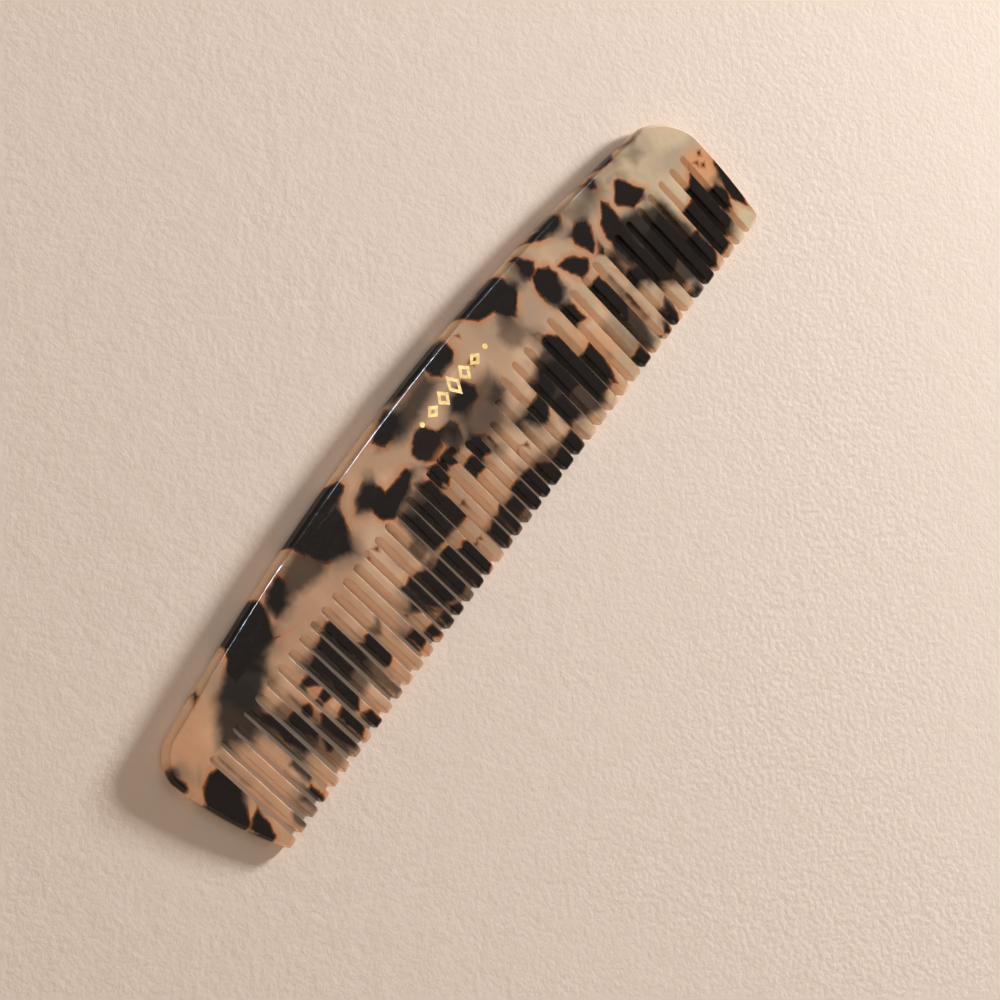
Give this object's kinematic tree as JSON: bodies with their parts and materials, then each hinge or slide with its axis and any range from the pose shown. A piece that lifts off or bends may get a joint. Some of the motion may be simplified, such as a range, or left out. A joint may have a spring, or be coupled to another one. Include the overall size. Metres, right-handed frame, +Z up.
{
  "type": "hair comb",
  "caption": "Flat dressing comb in mottled acetate: arched back with a rounded edge, wedge-shaped section, fine teeth at one end, coarse teeth at the other, foil ornament.",
  "frame": {"origin": "centre of the outline, on the surface that the comb lies on", "axes": "+X along the row of teeth towards the coarse end, +Y from the tips towards the back, +Z up out of the upper face"},
  "size_m": [0.1408, 0.0302, 0.0031],
  "materials": {
    "acetate": "polished mottled acetate, pale horn with near-black chips",
    "foil": "gold hot-pressed foil"
  },
  "bodies": {
    "root": {"back": "acetate", "fine_guard": "acetate", "coarse_guard": "acetate", "foil_band": "foil", "fine_tooth_01": "acetate", "fine_tooth_02": "acetate", "fine_tooth_03": "acetate", "fine_tooth_04": "acetate", "fine_tooth_05": "acetate", "fine_tooth_06": "acetate", "fine_tooth_07": "acetate", "fine_tooth_08": "acetate", "fine_tooth_09": "acetate", "fine_tooth_10": "acetate", "fine_tooth_11": "acetate", "fine_tooth_12": "acetate", "fine_tooth_13": "acetate", "fine_tooth_14": "acetate", "fine_tooth_15": "acetate", "fine_tooth_16": "acetate", "fine_tooth_17": "acetate", "fine_tooth_18": "acetate", "fine_tooth_19": "acetate", "fine_tooth_20": "acetate", "fine_tooth_21": "acetate", "fine_tooth_22": "acetate", "fine_tooth_23": "acetate", "fine_tooth_24": "acetate", "middle_tooth": "acetate", "coarse_tooth_01": "acetate", "coarse_tooth_02": "acetate", "coarse_tooth_03": "acetate", "coarse_tooth_04": "acetate", "coarse_tooth_05": "acetate", "coarse_tooth_06": "acetate", "coarse_tooth_07": "acetate", "coarse_tooth_08": "acetate", "coarse_tooth_09": "acetate", "coarse_tooth_10": "acetate", "coarse_tooth_11": "acetate", "coarse_tooth_12": "acetate", "coarse_tooth_13": "acetate", "coarse_tooth_14": "acetate", "coarse_tooth_15": "acetate", "coarse_tooth_16": "acetate", "coarse_tooth_17": "acetate", "coarse_tooth_18": "acetate"}
  },
  "joints": []
}
